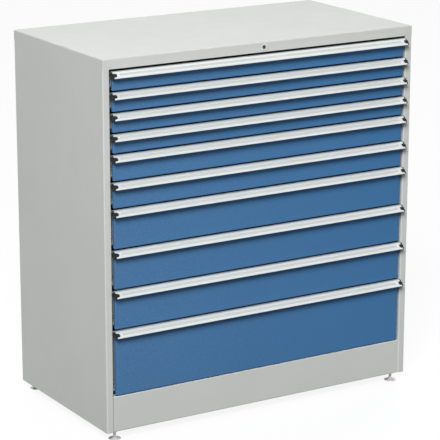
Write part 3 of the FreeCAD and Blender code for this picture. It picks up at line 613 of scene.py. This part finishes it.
def end_cap_pair(number):
    """Moulded cap on each end of the handle: a plate, a tongue in the channel and a stud."""
    low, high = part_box(f"drawer_{number}_end_caps")
    bar_low, bar_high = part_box(f"drawer_{number}_handle")
    top, bottom, nose = high.z, low.z, low.y
    plate = rounded_outline([
        (FACE, top, 0.8 * MM), (FACE - TOP_REACH, top, 1.4 * MM),
        (nose, bottom + NOSE_HEIGHT, 1.6 * MM), (nose, bottom, 1.4 * MM),
        (FACE, bottom, 0.8 * MM),
    ], 6)
    upper, lower = CHANNEL_START + TONGUE_PLAY, CHANNEL_END - TONGUE_PLAY
    tongue = rounded_outline([
        (*slope_point(top, upper), 0.2 * MM), (*slope_point(top, lower), 0.2 * MM),
        (*slope_point(top, lower, CHANNEL_DEPTH), 0.1 * MM),
        (*slope_point(top, upper, CHANNEL_DEPTH), 0.1 * MM),
    ], 3)
    shells = []
    for side, inner_end, outer_end in ((1, bar_high.x, high.x), (-1, bar_low.x, low.x)):
        plate_start = inner_end - side * PLATE_OVERLAP
        rings = [(EDGE_BREAK, plate_start, 0), (0, plate_start + side * EDGE_BREAK, 0),
                 (0, outer_end - side * (PLATE_ROUND + GUARD), 0)]
        rings += [(PLATE_ROUND * (1 - math.cos(a)),
                   outer_end - side * PLATE_ROUND * (1 - math.sin(a)), PLATE_WEAR)
                  for a in quarter_turn(5)]
        stud_out = inner_end - side * STUD_INSET
        stud_in = stud_out - side * STUD_LENGTH
        shells += [(*stacked(plate, rings, "x"), "capped"),
                   carried(tongue, *sorted((stud_in, inner_end)), "x", TONGUE_BREAK),
                   stud(*sorted((stud_in, stud_out)), top)]
    return skin(f"end_caps_{number}", shells, cap_plastic)


for number in DRAWERS:
    body = f"drawer_{number}"
    for piece, node, slot in (
        (drawer_front(number), f"{body}_front", "front_paint"),
        (drawer_handle(number), f"{body}_handle", "handle_aluminium"),
        (end_cap_pair(number), f"{body}_end_caps", "cap_plastic"),
        (label_strip(number), None, None),
    ):
        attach(piece, body)
        if node:
            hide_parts(node)


# Screw feet and lock housing


def hexagon_nut(centre, near, far, across, bore, axis):
    """Hexagonal nut with chamfered corners: a closed loop of rings round its bore.

    A hexagon's radius is half its width over the cosine of the angle to the middle of the nearest
    side. The nut's is the smaller of that and of a cone's that rises from the end faces.
    """
    angles = full_turn(NUT_STEPS)
    from_middle = (angles + math.pi / 6) % (math.pi / 3) - math.pi / 6
    hexagon = across / 2 / np.cos(from_middle)
    depth = np.linspace(near, far, NUT_RINGS)[:, None]
    cone = across / 2 * CHAMFER_START + np.minimum(depth - near, far - depth) * CHAMFER_SLOPE
    hole = np.full((1, NUT_STEPS), bore)
    radius = np.concatenate([hole, np.minimum(hexagon[None], cone), hole])
    depth = np.concatenate([depth[:1], depth, depth[-1:]])
    wear = np.zeros((NUT_RINGS + 2, 1))
    wear[[1, -2]] = NUT_WEAR
    return turned(radius, depth, angles, axis, centre), wear, "looped"


def levelling_foot(x, y, top, underside):
    """Pad, cone and threaded stem: radius as a function of angle and height.

    On the stem the radius drops by a triangle wave of height over the pitch less angle over a turn.
    """
    angles = full_turn(FOOT_STEPS)
    cone_top = PAD_EDGE + PAD_CROWN
    # Rows of radius and height, from the underside of the pad up to the stem
    lower = np.array([
        (PAD_RADIUS - 1.2 * MM, 0), (PAD_RADIUS - 0.4 * MM, 0.15 * MM),
        (PAD_RADIUS, 0.7 * MM), (PAD_RADIUS, PAD_EDGE - 0.4 * MM),
        (PAD_RADIUS - 0.45 * MM, PAD_EDGE + 0.1 * MM), (12 * MM, 3.7 * MM),
        (STEM_RADIUS + 1.6 * MM, cone_top - 1.6 * MM), (STEM_RADIUS, cone_top),
    ])
    height = np.linspace(cone_top, top, THREAD_RINGS)[:, None]
    phase = height / THREAD_PITCH - angles[None] / (2 * math.pi)
    wave = 1 - np.abs((phase % 1) * 2 - 1)
    ease = np.clip(np.minimum(height - cone_top, top - height) / THREAD_PITCH, 0, 1)
    tip = TIP_CHAMFER * (1 - ease) * (height > top - TIP_LENGTH)
    radius = STEM_RADIUS - THREAD_DEPTH * wave * ease - tip
    radius = np.concatenate([np.broadcast_to(lower[:, :1], (len(lower), FOOT_STEPS)), radius])
    height = np.concatenate([lower[:, 1:], height])
    stem = turned(radius, height, angles, "z", (x, y)), np.zeros((1, 1)), "capped"
    nut = hexagon_nut((x, y), underside - FOOT_NUT_HEIGHT, underside, FOOT_NUT_ACROSS,
                      STEM_RADIUS - THREAD_DEPTH, "z")
    return [stem, nut]


def levelling_feet():
    """The four screw feet under the base pan."""
    low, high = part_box("levelling_feet")
    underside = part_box("base_pan")[0].z
    shells = []
    for x in (low.x + PAD_RADIUS, high.x - PAD_RADIUS):
        for y in (low.y + PAD_RADIUS, high.y - PAD_RADIUS):
            shells += levelling_foot(x, y, high.z, underside)
    return skin("levelling_feet_threaded", shells, zinc_turned_painted_light)


def lock_housing():
    """Face ring, barrel and nut: a rounded section carried round the lock's axis."""
    low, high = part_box("lock_housing")
    centre = (0.0, (low.z + high.z) / 2)
    bore = PLUG_RADIUS + PLUG_PLAY
    face = low.y
    rim = face + RING_THICKNESS
    barrel_end = rim + BARREL_LENGTH
    section, _, wear = rounded_outline([
        (bore, face, 0.3 * MM), (RING_RADIUS, face, 1.1 * MM), (RING_RADIUS, rim, 0.15 * MM),
        (BARREL_RADIUS, rim, 0.1 * MM), (BARREL_RADIUS, barrel_end, 0.4 * MM),
        (bore, barrel_end, 0.2 * MM),
    ], 6)
    angles = full_turn(LOCK_STEPS)
    ring = turned(section[:, :1], section[:, 1:], angles, "y", centre), wear[:, None], "looped"
    nut_start = rim + CARCASS_SHEET
    nut = hexagon_nut(centre, nut_start, nut_start + LOCK_NUT_THICKNESS, LOCK_NUT_ACROSS,
                      BARREL_RADIUS, "y")
    return skin("lock_housing_turned", [ring, nut], lock_nickel)


for piece, node, slot in (
    (levelling_feet(), "levelling_feet", "zinc_steel"),
    (lock_housing(), "lock_housing", "lock_chrome"),
):
    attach(piece, "cabinet")
    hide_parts(node)


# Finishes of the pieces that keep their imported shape

FINISHES = {
    "left_side": carcass_paint, "right_side": carcass_paint, "top_panel": carcass_paint,
    "back_panel": carcass_paint, "base_pan": carcass_paint, "cabinet_rails": zinc_sheet,
    "lock_bar": zinc_sheet, "lock_plug": plug_steel,
}
for number in DRAWERS:
    FINISHES[f"drawer_{number}_tray"] = tray_paint
    FINISHES[f"drawer_{number}_mid_rails"] = zinc_sheet
for node, finish in FINISHES.items():
    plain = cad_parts[node]
    plain.data.materials.clear()
    plain.data.materials.append(finish)


# Camera, floor and light. The camera's place, angles and focal length come from the photograph's
# straight edges.

YAW = math.radians(31.403)
PITCH = math.radians(15.226)
ROLL = math.radians(0.051)
FOCAL_PIXELS = 2123.7
PICTURE_PIXELS = 440
SENSOR_WIDTH = 36
CAMERA_PLACE = Vector((-2.9444, -4.8458, 2.0257))
WHITE = (1, 1, 1, 1)


def add_camera():
    """Camera at the photograph's place, turned by its yaw, pitch and roll."""
    data = bpy.data.cameras.new("camera")
    data.sensor_width = SENSOR_WIDTH
    data.lens = FOCAL_PIXELS / PICTURE_PIXELS * SENSOR_WIDTH
    data.clip_end = 100
    ahead = Vector((math.sin(YAW) * math.cos(PITCH), math.cos(YAW) * math.cos(PITCH),
                    -math.sin(PITCH)))
    level_right = Vector((math.cos(YAW), -math.sin(YAW), 0))
    level_up = level_right.cross(ahead)
    right = level_right * math.cos(ROLL) + level_up * math.sin(ROLL)
    up = level_up * math.cos(ROLL) - level_right * math.sin(ROLL)
    rotation = Matrix((right, up, -ahead)).transposed()
    camera = add_object("camera", data)
    camera.matrix_world = Matrix.Translation(CAMERA_PLACE) @ rotation.to_4x4()
    bpy.context.scene.camera = camera


def facing(direction):
    """Rotation of a lamp that shines from a direction."""
    return Vector(direction).to_track_quat("Z", "Y").to_matrix().to_4x4()


def add_softbox(name, place, aim, side, power):
    """Square lamp at a place, turned to face the aim. It isn't seen and leaves no glint."""
    data = bpy.data.lights.new(name, "AREA")
    data.shape = "SQUARE"
    data.size = side
    data.energy = power
    lamp = add_object(name, data)
    lamp.matrix_world = Matrix.Translation(Vector(place)) @ facing(Vector(place) - Vector(aim))
    lamp.visible_camera = False
    lamp.visible_glossy = False


def add_sun(name, toward, strength, angle):
    """Distant lamp that shines from a direction and leaves no glint."""
    data = bpy.data.lights.new(name, "SUN")
    data.energy = strength
    data.angle = math.radians(angle)
    lamp = add_object(name, data)
    lamp.matrix_world = facing(toward)
    lamp.visible_glossy = False


def add_world(level):
    """White to the camera and in reflections, and an even light of a lower level for the rest."""
    s = Shader(bpy.data.worlds.new("studio"))
    strength = s.span(s.seen(), 0, 1, level, 1)
    light = s.node("ShaderNodeBackground", None, {"Color": WHITE, "Strength": strength})
    bpy.context.scene.world = s.end("ShaderNodeOutputWorld", light)


def add_floor(half, white_share, bounce):
    """Plain floor: white with a faint shadow where it is seen, dull where it only bounces light."""
    s = new_shader("floor_white")
    dull = s.node("ShaderNodeBsdfDiffuse", None, {"Color": tone(WHITE[:3], bounce)})
    pale = s.node("ShaderNodeBsdfDiffuse", None, {"Color": tone(WHITE[:3], 0.9)})
    glow = s.node("ShaderNodeEmission", None, {"Color": WHITE, "Strength": 1.0})
    white = s.node("ShaderNodeMixShader", None, {0: white_share, 1: pale, 2: glow})
    shown = s.node("ShaderNodeMixShader", None, {0: s.seen(), 1: dull, 2: white})
    mesh = bpy.data.meshes.new("floor")
    mesh.from_pydata([(-half, -half, 0), (half, -half, 0), (half, half, 0), (-half, half, 0)],
                     [], [(0, 1, 2, 3)])
    mesh.materials.append(s.end("ShaderNodeOutputMaterial", shown))
    floor = add_object("floor", mesh)


add_camera()
add_world(level=0.07)
add_softbox("softbox", place=(-5.65, -7.15, 8.0), aim=(0, -0.25, 0.3), side=4.6, power=1800)
add_sun("rear_fill", toward=(0.45, 0.6, 0.6), strength=1.7, angle=35)
add_floor(half=12, white_share=0.9, bounce=0.25)
bpy.context.scene.view_settings.view_transform = "Standard"
